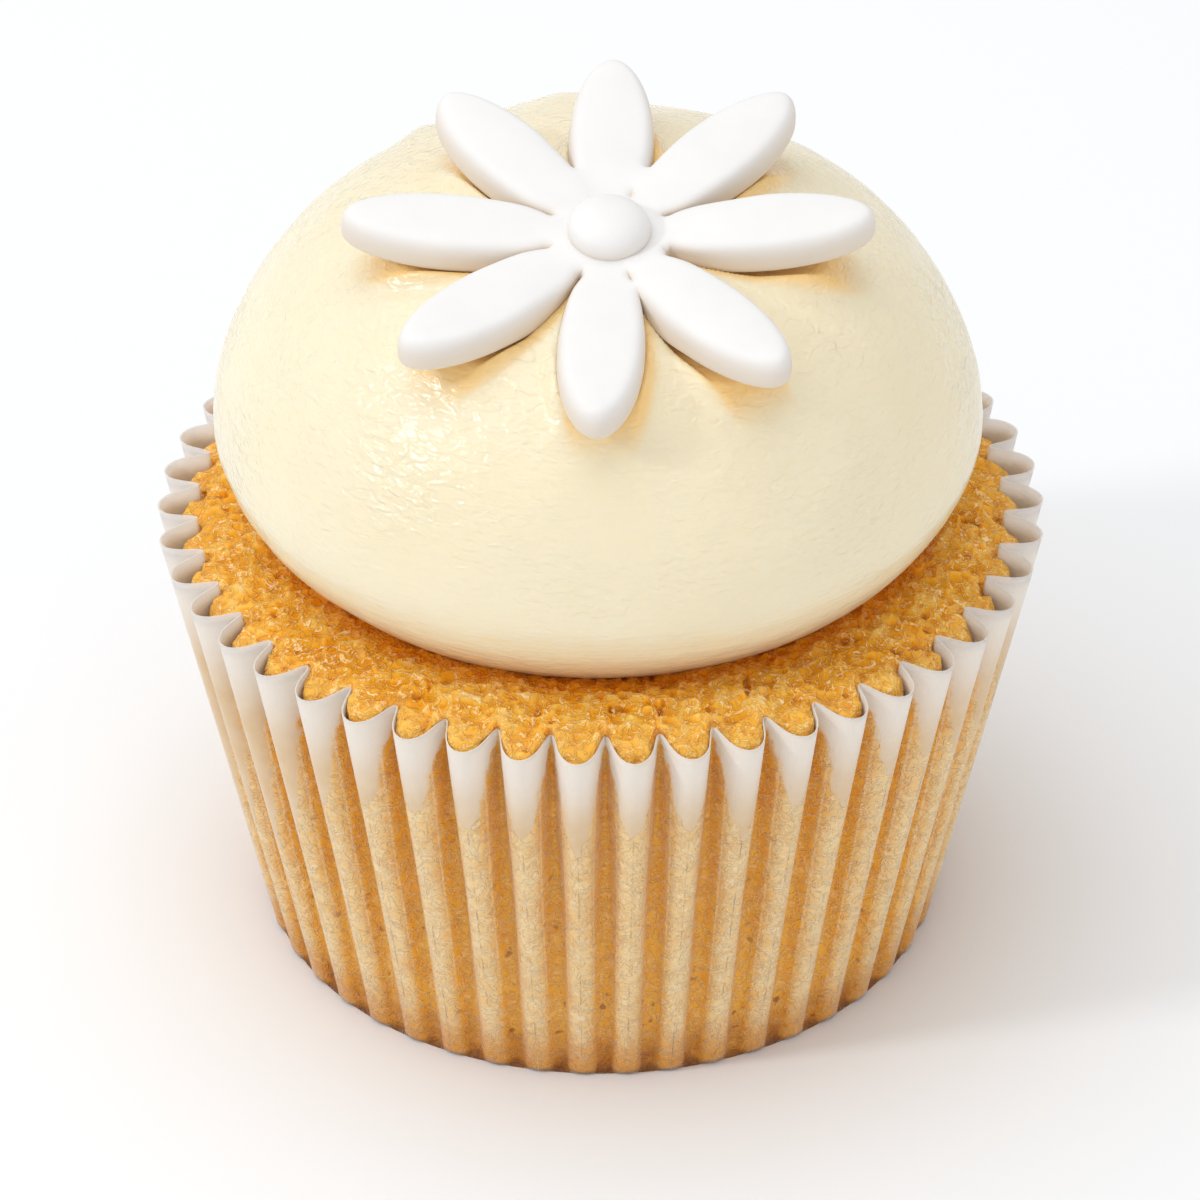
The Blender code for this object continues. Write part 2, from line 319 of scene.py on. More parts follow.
def ranged(tree, value, low, high, out_low=0.0, out_high=1.0, smooth=True):
    """A number carried from one range to another, held at its ends."""
    node = put(tree, "ShaderNodeMapRange", {"Value": value, "From Min": low, "From Max": high,
                                            "To Min": out_low, "To Max": out_high})
    node.interpolation_type = "SMOOTHSTEP" if smooth else "LINEAR"
    return node.outputs[0]


def colour_steps(tree, value, steps):
    """A colour ramp through (place, colour) steps."""
    node = put(tree, "ShaderNodeValToRGB", {"Fac": value})
    ramp = node.color_ramp
    while len(ramp.elements) < len(steps):
        ramp.elements.new(0.5)
    for element, (place, colour) in zip(ramp.elements, steps):
        element.position = place
        element.color = colour
    return node.outputs[0]


def attribute(tree, title):
    """The piece's own number of that name."""
    return put(tree, "ShaderNodeAttribute", attribute_name=title).outputs["Fac"]


def place(tree):
    """Object coordinates, and their height."""
    where = put(tree, "ShaderNodeTexCoord").outputs["Object"]
    split = put(tree, "ShaderNodeSeparateXYZ", {0: where})
    return where, split.outputs["Z"]


def new_group(name, ins, outs):
    """An empty shader node group with named inputs and outputs."""
    group = bpy.data.node_groups.new(name, "ShaderNodeTree")
    for title, kind, value in ins:
        socket = group.interface.new_socket(title, in_out="INPUT", socket_type=kind)
        if value is not None:
            socket.default_value = value
    for title, kind in outs:
        group.interface.new_socket(title, in_out="OUTPUT", socket_type=kind)
    return group, group.nodes.new("NodeGroupInput"), group.nodes.new("NodeGroupOutput")


def make_mottle_group():
    """Soft blotches from 0 to 1: noise of a given size, stretched between two of its values."""
    group, given, result = new_group(
        "soft_mottle",
        [("Vector", "NodeSocketVector", None), ("Scale", "NodeSocketFloat", 100.0), ("Detail", "NodeSocketFloat", 3.0),
         ("Low", "NodeSocketFloat", 0.35), ("High", "NodeSocketFloat", 0.65)],
        [("Mask", "NodeSocketFloat")],
    )
    noise = put(group, "ShaderNodeTexNoise", {"Vector": given.outputs["Vector"], "Scale": given.outputs["Scale"],
                                              "Detail": given.outputs["Detail"], "Roughness": 0.55})
    mask = put(group, "ShaderNodeMapRange", {"Value": noise.outputs[0], "From Min": given.outputs["Low"],
                                             "From Max": given.outputs["High"]})
    group.links.new(mask.outputs[0], result.inputs["Mask"])
    return group


def make_squiggle_group():
    """Worm-like lines from 0 to 1: one where distorted noise passes its middle value, falling off over Width."""
    group, given, result = new_group(
        "fine_squiggles",
        [("Vector", "NodeSocketVector", None), ("Scale", "NodeSocketFloat", 2000.0), ("Bend", "NodeSocketFloat", 0.6),
         ("Width", "NodeSocketFloat", 0.08)],
        [("Mask", "NodeSocketFloat")],
    )
    noise = put(group, "ShaderNodeTexNoise", {"Vector": given.outputs["Vector"], "Scale": given.outputs["Scale"],
                                              "Detail": 1.5, "Roughness": 0.5, "Distortion": given.outputs["Bend"]})
    off = maths(group, "ABSOLUTE", maths(group, "SUBTRACT", noise.outputs[0], 0.5))
    mask = put(group, "ShaderNodeMapRange", {"Value": off, "From Min": 0.0, "From Max": given.outputs["Width"],
                                             "To Min": 1.0, "To Max": 0.0}, interpolation_type="SMOOTHSTEP")
    group.links.new(mask.outputs[0], result.inputs["Mask"])
    return group


def make_grain_group():
    """Fine even grain as a normal: noise of a given size as the height of a bump."""
    group, given, result = new_group(
        "fine_grain",
        [("Vector", "NodeSocketVector", None), ("Scale", "NodeSocketFloat", 3000.0),
         ("Depth", "NodeSocketFloat", 0.00002), ("Normal", "NodeSocketVector", None)],
        [("Normal", "NodeSocketVector")],
    )
    noise = put(group, "ShaderNodeTexNoise", {"Vector": given.outputs["Vector"], "Scale": given.outputs["Scale"],
                                              "Detail": 4.0, "Roughness": 0.6})
    bump = put(group, "ShaderNodeBump", {"Height": noise.outputs[0], "Distance": given.outputs["Depth"],
                                         "Normal": given.outputs["Normal"]})
    group.links.new(bump.outputs[0], result.inputs["Normal"])
    return group


MOTTLE = make_mottle_group()
SQUIGGLES = make_squiggle_group()
GRAIN = make_grain_group()


def mottle(tree, where, scale, low=0.35, high=0.65, detail=3.0):
    """The mottle group, placed with its values."""
    node = put(tree, "ShaderNodeGroup", node_tree=MOTTLE)
    tree.links.new(where, node.inputs["Vector"])
    for title, value in (("Scale", scale), ("Detail", detail), ("Low", low), ("High", high)):
        node.inputs[title].default_value = value
    return node.outputs["Mask"]


def squiggles(tree, where, scale, width=0.08, bend=0.6):
    """The squiggle group, placed with its values."""
    node = put(tree, "ShaderNodeGroup", node_tree=SQUIGGLES)
    tree.links.new(where, node.inputs["Vector"])
    for title, value in (("Scale", scale), ("Width", width), ("Bend", bend)):
        node.inputs[title].default_value = value
    return node.outputs["Mask"]


def grain(tree, where, scale, depth, normal=None):
    """The grain group, placed with its values."""
    node = put(tree, "ShaderNodeGroup", node_tree=GRAIN)
    tree.links.new(where, node.inputs["Vector"])
    node.inputs["Scale"].default_value = scale
    node.inputs["Depth"].default_value = depth
    if normal is not None:
        tree.links.new(normal, node.inputs["Normal"])
    else:
        tree.links.new(put(tree, "ShaderNodeNewGeometry").outputs["Normal"], node.inputs["Normal"])
    return node.outputs["Normal"]


def bumped(tree, height, distance, normal=None):
    """A bump with its height in shares of the distance."""
    node = put(tree, "ShaderNodeBump", {"Height": height, "Distance": distance})
    if normal is not None:
        tree.links.new(normal, node.inputs["Normal"])
    return node.outputs[0]


def stretched(tree, where, scale, turn=(0.0, 0.0, 0.0)):
    """Coordinates scaled by axis and turned, for marks longer one way than the other."""
    node = put(tree, "ShaderNodeMapping", {"Vector": where, "Scale": scale, "Rotation": turn})
    return node.outputs[0]


# The materials


def make_paper_material():
    """Greaseproof paper: white and see-through where it stands free, golden with crumb marks where it clings;
    paler ridges and darker valleys are partly painted shade, the fold flanks carry painted highlights, and the
    free rim is lifted to full white by painted light through the sheet.
    """
    material, tree, shader = new_material("greaseproof_paper")
    where, height = place(tree)
    ridge = attribute(tree, "ridge")
    above = attribute(tree, "above")
    crumb_marks = squiggles(tree, where, 1350.0, 0.075, 1.2)
    soft_marks = mottle(tree, where, 650.0, 0.40, 0.64)
    blotches = mottle(tree, where, 170.0, 0.3, 0.7)
    ragged = maths(tree, "MULTIPLY", maths(tree, "SUBTRACT", mottle(tree, where, 700.0, 0.25, 0.75), 0.5), 0.20)
    down = maths(tree, "ADD", attribute(tree, "down"), ragged)
    width = maths(tree, "POWER", ranged(tree, down, 0.0, 1.0, 1.0, 0.0, False), 0.55)
    reach = maths(tree, "MULTIPLY", width, ranged(tree, down, 0.0, 0.45, 1.0, 0.62))
    soft = ranged(tree, width, 0.20, 0.75, 0.015, 0.10)
    inside = maths(tree, "SUBTRACT", reach, attribute(tree, "fold"))
    inside = maths(tree, "SUBTRACT", inside, maths(tree, "MULTIPLY", ragged, 0.2))
    tongue = ranged(tree, maths(tree, "DIVIDE", inside, soft), -1.0, 1.0)
    free = maths(tree, "MAXIMUM", tongue, above)
    # Paler on the ridges, darker in the valleys and lower down: partly the paper's own tone, partly painted shade in
    # the valleys
    crest = maths(tree, "ADD", ridge, maths(tree, "MULTIPLY", maths(tree, "SUBTRACT", blotches, 0.5), 0.25))
    crest = maths(tree, "MULTIPLY", ranged(tree, crest, 0.36, 1.04), ranged(tree, height, 0.0008, 0.0042, 0.25, 1.0))
    clinging = blended(tree, crest, (0.86, 0.445, 0.046, 1), (0.87, 0.66, 0.365, 1))
    clinging = blended(tree, maths(tree, "MULTIPLY", soft_marks, 0.60), clinging, (0.94, 0.76, 0.52, 1), "MULTIPLY")
    pale_marks = maths(tree, "MULTIPLY", crumb_marks, ranged(tree, crest, 0.0, 1.0, 0.24, 0.42))
    clinging = blended(tree, pale_marks, clinging, (1.0, 0.84, 0.60, 1))
    tan_marks = maths(tree, "MULTIPLY", squiggles(tree, where, 950.0, 0.055, 1.4), 0.42)
    clinging = blended(tree, tan_marks, clinging, (0.88, 0.68, 0.45, 1), "MULTIPLY")
    clinging = blended(tree, maths(tree, "MULTIPLY", blotches, 0.18), clinging, (0.94, 0.56, 0.12, 1))
    off_flank = maths(tree, "ABSOLUTE", maths(tree, "SUBTRACT", attribute(tree, "fold"), 0.44))
    # A painted highlight along the flanks of the folds, stronger higher up
    painted_flank_highlight = maths(tree, "MULTIPLY", ranged(tree, off_flank, 0.05, 0.0), ranged(tree, height, 0.004, 0.012, 0.0, 0.38))
    clinging = blended(tree, painted_flank_highlight, clinging, (1.0, 0.88, 0.64, 1))
    near_base = ranged(tree, height, 0.0062, 0.0006)
    clinging = blended(tree, maths(tree, "MULTIPLY", near_base, 0.56), clinging, (0.60, 0.20, 0.004, 1))
    fold_end = maths(tree, "MULTIPLY", ranged(tree, height, 0.0042, 0.0010), ranged(tree, ridge, 0.55, 0.10))
    fold_end = maths(tree, "MULTIPLY", fold_end, mottle(tree, where, 420.0, 0.35, 0.60))
    clinging = blended(tree, maths(tree, "MULTIPLY", fold_end, 0.65), clinging, (0.30, 0.06, 0.004, 1))
    clinging = blended(tree, ranged(tree, height, 0.0007, 0.0001, 0.0, 0.75), clinging, (0.17, 0.06, 0.02, 1))
    specks = mottle(tree, where, 1000.0, 0.66, 0.74, 1.0)
    in_valley = maths(tree, "SUBTRACT", 1.0, maths(tree, "MULTIPLY", ridge, 0.8))
    speck_share = maths(tree, "MULTIPLY", specks, ranged(tree, height, 0.030, 0.0, 0.25, 0.85))
    clinging = blended(tree, maths(tree, "MULTIPLY", speck_share, in_valley), clinging, (0.30, 0.08, 0.006, 1))
    low_white = blended(tree, mottle(tree, where, 500.0, 0.3, 0.7), (0.75, 0.57, 0.37, 1), (0.71, 0.50, 0.28, 1))
    white = blended(tree, ranged(tree, height, 0.0250, 0.0318), low_white, (0.85, 0.775, 0.69, 1))
    # The free rim above the sponge: the paper's own white, lifted by painted light shining through the thin sheet
    white = blended(tree, above, white, (1.0, 0.96, 0.93, 1))
    colour = blended(tree, free, clinging, white)
    tree.links.new(colour, shader.inputs["Base Color"])
    tree.links.new(ranged(tree, above, 0.0, 1.0, 1.0, 0.60, False), shader.inputs["Alpha"])
    relief = maths(tree, "ADD", maths(tree, "MULTIPLY", crumb_marks, 0.6), soft_marks)
    relief = maths(tree, "MULTIPLY", relief, ranged(tree, free, 0.0, 1.0, 1.0, 0.12))
    tree.links.new(grain(tree, where, 5000.0, 0.00001, bumped(tree, relief, 0.00009)), shader.inputs["Normal"])
    shader.inputs["Roughness"].default_value = 0.42
    shader.inputs["Specular IOR Level"].default_value = 0.30
    shader.inputs["Sheen Weight"].default_value = 0.60
    shader.inputs["Sheen Roughness"].default_value = 0.30
    return material


def make_sponge_material():
    """Baked sponge: golden crumbs with a soft moist shine; paler tops and browner crevices are partly the crumb's own
    tone and partly painted light and painted shade, with painted glints along squiggles and painted shade under the
    icing.
    """
    material, tree, shader = new_material("golden_sponge")
    where, _ = place(tree)
    relief = attribute(tree, "relief")
    lip = attribute(tree, "lip")
    painted_icing_shade = attribute(tree, "painted_icing_shade")
    # Colour by crumb height: darker in the hollows, paler on the tops, partly own tone, partly painted shade and light
    crumb = colour_steps(tree, relief, [
        (0.0, (0.42, 0.12, 0.003, 1)), (0.25, (0.74, 0.29, 0.010, 1)),
        (0.50, (0.88, 0.42, 0.032, 1)), (0.75, (0.97, 0.60, 0.13, 1)), (1.0, (1.0, 0.86, 0.52, 1)),
    ])
    browner = maths(tree, "MULTIPLY", mottle(tree, where, 220.0, 0.3, 0.7), 0.25)
    crumb = blended(tree, browner, crumb, (0.84, 0.36, 0.014, 1))
    # Pale squiggles painted as glints
    painted_glints = maths(tree, "MULTIPLY", squiggles(tree, where, 1300.0, 0.030, 1.0), 0.65)
    crumb = blended(tree, painted_glints, crumb, (1.0, 0.91, 0.60, 1))
    crumb = blended(tree, maths(tree, "MULTIPLY", lip, 0.40), crumb, (0.95, 0.56, 0.15, 1))
    # Painted shade under the overhang of the icing
    crumb = blended(tree, maths(tree, "MULTIPLY", painted_icing_shade, 0.86), crumb, (0.74, 0.20, 0.001, 1))
    tree.links.new(crumb, shader.inputs["Base Color"])
    normal = bumped(tree, squiggles(tree, where, 1300.0, 0.12, 1.0), 0.00012)
    tree.links.new(grain(tree, where, 4200.0, 0.00003, normal), shader.inputs["Normal"])
    tree.links.new(ranged(tree, mottle(tree, where, 1500.0), 0.0, 1.0, 0.16, 0.34), shader.inputs["Roughness"])
    shader.inputs["Specular IOR Level"].default_value = 0.17
    shader.inputs["Specular Tint"].default_value = (1.0, 0.80, 0.40, 1.0)
    shader.subsurface_method = "BURLEY"
    shader.inputs["Subsurface Weight"].default_value = 0.50
    shader.inputs["Subsurface Scale"].default_value = 0.0014
    shader.inputs["Subsurface Radius"].default_value = (1.0, 0.35, 0.06)
    return material


def make_icing_material():
    """Ivory icing: smooth, softly glossy, with fine wrinkles and the long faint marks of a knife, warm painted shade
    at its foot and a warm painted shadow under the flower.
    """
    material, tree, shader = new_material("ivory_icing")
    where, height = place(tree)
    broad = mottle(tree, where, 70.0, 0.3, 0.7)
    ivory = blended(tree, broad, (0.895, 0.79, 0.55, 1), (0.91, 0.82, 0.60, 1))
    # Painted shade, with warm light reflected from the sponge, at the foot of the icing
    foot = ranged(tree, height, 0.0385, 0.0350)
    ivory = blended(tree, maths(tree, "MULTIPLY", foot, 0.27), ivory, (0.89, 0.67, 0.37, 1))
    # Warm painted shadow of the petals on the icing
    ivory = blended(tree, maths(tree, "MULTIPLY", attribute(tree, "painted_petal_shadow"), 0.82), ivory, (0.98, 0.62, 0.20, 1))
    tree.links.new(ivory, shader.inputs["Base Color"])
    knife_place = stretched(tree, where, (90.0, 90.0, 2600.0))
    knife = put(tree, "ShaderNodeTexNoise", {"Vector": knife_place, "Scale": 1.0, "Detail": 3.0})
    normal = bumped(tree, knife.outputs[0], 0.00003)
    crease_place = stretched(tree, where, (950.0, 950.0, 2200.0))
    creases = put(tree, "ShaderNodeTexNoise", {"Vector": crease_place, "Scale": 1.0, "Detail": 1.0,
                                               "Roughness": 0.45, "Distortion": 0.7})
    wrinkled = maths(tree, "MULTIPLY", creases.outputs[0], mottle(tree, where, 110.0, 0.26, 0.62))
    wrinkled = maths(tree, "MULTIPLY", wrinkled, ranged(tree, height, 0.0385, 0.0470, 0.15, 1.0))
    normal = bumped(tree, wrinkled, 0.00029, normal)
    tree.links.new(grain(tree, where, 2600.0, 0.00002, normal), shader.inputs["Normal"])
    shine = mottle(tree, where, 420.0, 0.15, 0.85)
    tree.links.new(ranged(tree, shine, 0.0, 1.0, 0.15, 0.26), shader.inputs["Roughness"])
    shader.inputs["Specular IOR Level"].default_value = 0.5
    shader.subsurface_method = "BURLEY"
    shader.inputs["Subsurface Weight"].default_value = 0.6
    shader.inputs["Subsurface Scale"].default_value = 0.0022
    shader.inputs["Subsurface Radius"].default_value = (1.0, 0.55, 0.20)
    return material


def make_sugar_material(name, roughness):
    """Matt white moulded sugar with a powdery grain, creamier and darker on its low sides and undersides:
    painted shade, with painted warm light reflected from the icing.
    """
    material, tree, shader = new_material(name)
    where, _ = place(tree)
    white = blended(tree, mottle(tree, where, 260.0, 0.3, 0.7), (0.84, 0.835, 0.83, 1), (0.87, 0.865, 0.86, 1))
    # Painted shade, with warm light reflected from the icing, on the low sides and undersides
    white = blended(tree, maths(tree, "MULTIPLY", attribute(tree, "painted_side_shade"), 0.80), white, (0.77, 0.66, 0.54, 1))
    tree.links.new(white, shader.inputs["Base Color"])
    tree.links.new(grain(tree, where, 3500.0, 0.000012), shader.inputs["Normal"])
    uneven = ranged(tree, mottle(tree, where, 700.0), 0.0, 1.0, roughness, roughness + 0.12)
    tree.links.new(uneven, shader.inputs["Roughness"])
    shader.inputs["Specular IOR Level"].default_value = 0.35
    return material


# The pieces


def make_paper_case(material):
    """The case as one thin closed sheet: outer skin, rim, inner skin and a flat base.

    Ridge is 1 on a ridge and 0 in a valley, and fold runs evenly from 0 on the ridge to 1 in the valley.
    Down is the way from the rim as a share of the pleat's white tongue, which is about 8.5 mm long and
    longer at the sides. Above is 1 where the paper stands higher than the sponge.
    """
    columns = PLEATS * PAPER_STEPS_PER_PLEAT
    fold = np.arange(columns)[None, :] * (2 * math.pi / PAPER_STEPS_PER_PLEAT)
    first_share = BASE_FOLD_HEIGHT / WALL_SLANT
    outer_share = first_share + (1 - first_share) * np.linspace(0, 1, PAPER_OUTER_ROWS)[:, None] ** 0.9
    inner_share = np.linspace(1, PAPER_THICKNESS * 3 / WALL_SLANT, PAPER_INNER_ROWS)[:, None]
    outer = pleated_wall(fold, outer_share, 0.0)
    inner = pleated_wall(fold, inner_share, PAPER_THICKNESS)
    angles = column_angles(outer[0])
    base = level_rings([0.4 * BASE_RADIUS, 0.8 * BASE_RADIUS, BASE_RADIUS - BASE_FOLD_INSET], [0, 0, 0], angles)
    middle = (base[-1] + outer[0]) / 2 + np.array([0, 0, -BASE_FOLD_HEIGHT * 0.22])
    floor_radius = np.hypot(inner[-1][:, 0], inner[-1][:, 1]).min() - PAPER_THICKNESS
    floor = level_rings([floor_radius, 0.8 * BASE_RADIUS, 0.4 * BASE_RADIUS], [PAPER_THICKNESS * 1.5] * 3, angles)
    rows = np.concatenate([base, middle[None], outer, inner, floor])
    poles = np.array([[0, 0, 0], [0, 0, PAPER_THICKNESS * 1.5]])
    points = np.concatenate([rows.reshape(-1, 3), poles])
    under, over = len(points) - 2, len(points) - 1
    faces = [grid_quads(len(rows), columns), pole_fan(0, columns, under, flip=True),
             pole_fan((len(rows) - 1) * columns, columns, over)]
    ridge = (1 + np.cos(fold)) / 2 * np.ones((len(rows), 1))
    below_rim = (1 - rows[:, :, 2] / rows[:, :, 2].max()) * WALL_SLANT
    pleat = np.floor(np.arange(columns) / PAPER_STEPS_PER_PLEAT + 0.5)[None, :] % PLEATS
    uneven = 1 + TONGUE_UNEVENNESS * lattice(np.stack([pleat, 0 * pleat, 0 * pleat], axis=-1), 5)
    sideways = np.sin(angles)[None, :]
    left_growth = LEFT_TONGUE_GROWTH * eased(0.50, 1.0, -sideways)
    right_growth = RIGHT_TONGUE_GROWTH * eased(0.55, 1.0, sideways)
    down = below_rim / (TONGUE_LENGTH * (uneven + left_growth + right_growth))
    off_ridge = np.arccos(np.clip(2 * ridge - 1, -1, 1)) / math.pi
    lip = FRONT_LIP * np.clip(np.cos(angles), 0, 1)[None, :] ** 2
    above = eased(SPONGE_EDGE_HEIGHT - 0.0006, SPONGE_EDGE_HEIGHT + 0.0006, rows[:, :, 2] - lip)
    pad = np.ones(2)
    values = {"ridge": np.append(ridge, 0 * pad), "fold": np.append(off_ridge, pad),
              "down": np.append(down, 5 * pad), "above": np.append(above, 0 * pad)}
    return food_piece("paper_case_pleated", points, faces, material, values)


def make_sponge(material):
    """The sponge: pleated by its case, rolled over at the edge, with a crumbly crust up to the icing.

    From the edge inwards the radius runs evenly to the flat top while the waves of the pleats fade, and the
    height is a quarter round of 0.7 mm plus 1.1 sin. The crumb adds squiggly ridges of two sizes, lumps
    and pores along the normal.
    """
    columns = PLEATS * SPONGE_STEPS_PER_PLEAT
    fold = np.arange(columns)[None, :] * (2 * math.pi / SPONGE_STEPS_PER_PLEAT)
    floor = 0.0004
    low_share = np.linspace(floor, SPONGE_EDGE_HEIGHT - TONGUE_LENGTH, SPONGE_LOW_ROWS)[:, None] / WALL_SLANT
    low = pleated_wall(fold, low_share, SPONGE_INSET)
    steps = np.linspace(0, 1, SPONGE_WALL_ROWS + 1)[1:, None]
    frontness = np.clip(np.cos(fold / PLEATS), 0, 1) ** 2
    wall_share = (SPONGE_EDGE_HEIGHT + FRONT_LIP * frontness * steps - TONGUE_LENGTH * (1 - steps)) / WALL_SLANT
    fill = RIDGE_FILL_AT_TOP + FRONT_FILL * frontness
    wall = pleated_wall(fold, wall_share, SPONGE_INSET, ridge_fill=1 - (1 - fill) * steps ** 1.3)
    edge = wall[-1]
    angles = column_angles(edge)
    edge_radius = np.hypot(edge[:, 0], edge[:, 1])
    inwards = np.linspace(0, 1, CRUST_ROWS + 1)[1:, None]
    middle_radius = edge_radius.mean()
    wave = (edge_radius - middle_radius)[None, :] * (1 - eased(0.0, 0.42, inwards))
    radius = middle_radius + (SPONGE_FLAT_RADIUS - middle_radius) * inwards + wave
    step_in = (middle_radius - SPONGE_FLAT_RADIUS) * inwards
    roll = np.sqrt(1 - (1 - np.clip(step_in / SPONGE_ROLL, 0, 1)) ** 2) * SPONGE_ROLL_HEIGHT
    rise = (SPONGE_TOP - SPONGE_EDGE_HEIGHT - SPONGE_ROLL_HEIGHT) * np.sin(inwards * math.pi / 2)
    height = edge[:, 2].mean() + roll + rise + (edge[:, 2] - edge[:, 2].mean()) * (1 - inwards)
    crust = np.stack(np.broadcast_arrays(radius * np.sin(angles), -radius * np.cos(angles), height), axis=-1)
    rows = np.concatenate([low, wall, crust])
    normals = grid_normals(rows)
    ridged = 0.55 * worms(rows, 0.0009, 21) + 0.35 * worms(rows, 0.00048, 22)
    lumps = 0.30 * cloud(rows, 0.0021, 23) + 0.30 * cloud(rows, 0.00055, 24)
    pores = eased(0.52, 0.80, cloud(rows, 0.00085, 25))
    relief = ridged + lumps - 0.9 * pores
    shown = np.concatenate([np.zeros(len(low)), steps[:, 0] ** 3 * 0.6, np.full(CRUST_ROWS, 1.0)])[:, None]
    crust_room = WALL_ROOM + CRUST_ROOM * eased(0.0, 0.14, inwards[:, 0])
    room = np.concatenate([np.full(len(low) + len(wall), WALL_ROOM), crust_room])
    lift = np.minimum((relief - 0.35) * CRUMB_HEIGHT * shown, room[:, None])
    rows = rows + normals * lift[:, :, None]
    lip_place = np.concatenate([np.zeros(len(low)), steps[:, 0] ** 3, 1 - eased(0.06, 0.30, inwards[:, 0])])
    # Where the painted shade under the icing lies: the innermost part of the crust
    painted_icing_shade_place = np.concatenate([np.zeros(len(low) + len(wall)), eased(0.58, 0.92, inwards[:, 0])])
    ones = np.ones((1, columns))
    poles = np.array([[0, 0, floor], [0, 0, SPONGE_TOP]])
    points = np.concatenate([rows.reshape(-1, 3), poles])
    under, over = len(points) - 2, len(points) - 1
    faces = [grid_quads(len(rows), columns), pole_fan(0, columns, under, flip=True),
             pole_fan((len(rows) - 1) * columns, columns, over)]
    pad = np.zeros(2)
    # Crumb height for the colour ramp, which paints shade into the hollows and light onto the tops
    shade = np.clip(0.42 + 0.50 * (relief - 0.25), 0, 1)
    values = {
        "relief": np.append(shade, pad),
        "lip": np.append(lip_place[:, None] * ones, pad),
        "painted_icing_shade": np.append(painted_icing_shade_place[:, None] * ones, pad),
    }
    return food_piece("sponge_crumbly", points, faces, material, values)


def icing_profile():
    """Radius and height from the foot to the crown along two joined superellipses, closer towards the crown.

    Above the waist r = R cos^(2/2.716) u and z = waist + rise sin^(2/1.862) u, and below it
    r = R cos^(2/1.741) u and z = waist - drop sin^(2/1.741) u.
    """
    lowest = math.asin(((ICING_WAIST - ICING_FOOT) / ICING_DROP) ** (LOWER_POWER / 2))
    below = lowest * (1 - np.linspace(0, 1, 400, endpoint=False))
    above = np.linspace(0, math.pi / 2, 1600)
    cosine = np.maximum(np.cos(above), 0)
    radius = ICING_RADIUS * np.concatenate([np.cos(below) ** (2 / LOWER_POWER), cosine ** (2 / UPPER_SIDE_POWER)])
    height = np.concatenate([
        ICING_WAIST - ICING_DROP * np.sin(below) ** (2 / LOWER_POWER),
        ICING_WAIST + ICING_RISE * np.sin(above) ** (2 / UPPER_TOP_POWER),
    ])
    run = np.concatenate([[0], np.cumsum(np.hypot(np.diff(radius), np.diff(height)))])
    closer = run[-1] * (1 - (1 - np.linspace(0, 1, ICING_ROWS + 1)[:-1]) ** 1.3)
    return np.interp(closer, run, radius), np.interp(closer, run, height), height[-1]


def daisy_matrix():
    """The flower's place: its tilt to the front, its lean to the right, and the hub's underside."""
    turn = Euler((math.radians(DAISY_TILT_DEG), math.radians(DAISY_LEAN_DEG), 0.0)).to_matrix().to_4x4()
    return Matrix.Translation(Vector(DAISY_HUB_UNDERSIDE)) @ turn


def to_daisy(points):
    """Points of the row frame in the flower's own frame."""
    inverse = np.array(daisy_matrix().inverted())
    return points @ inverse[:3, :3].T + inverse[:3, 3]


def from_daisy(points):
    """Points of the flower's own frame in the row frame."""
    matrix = np.array(daisy_matrix())
    return points @ matrix[:3, :3].T + matrix[:3, 3]


def petal_directions():
    """The direction of each petal in the flower's own frame, clockwise from the back."""
    return [math.radians(90 - 360 / len(PETALS) * i + turn) for i, (_, turn, _) in enumerate(PETALS)]


def petal_cover(points):
    """How far points lie inside the flower's outline in plan: above 0 inside a petal or the hub, in metres."""
    cover = HUB_RADIUS - np.hypot(points[..., 0], points[..., 1])
    for direction, (length, _, _) in zip(petal_directions(), PETALS):
        along = points[..., 0] * math.cos(direction) + points[..., 1] * math.sin(direction)
        aside = -points[..., 0] * math.sin(direction) + points[..., 1] * math.cos(direction)
        half_length = length * (1 - PETAL_MIDDLE)
        from_middle = along - length * PETAL_MIDDLE
        far = np.hypot(from_middle / half_length, aside / PETAL_HALF_WIDTH)
        cover = np.maximum(cover, np.hypot(from_middle, aside) * (1 / np.maximum(far, 1e-6) - 1))
    return cover


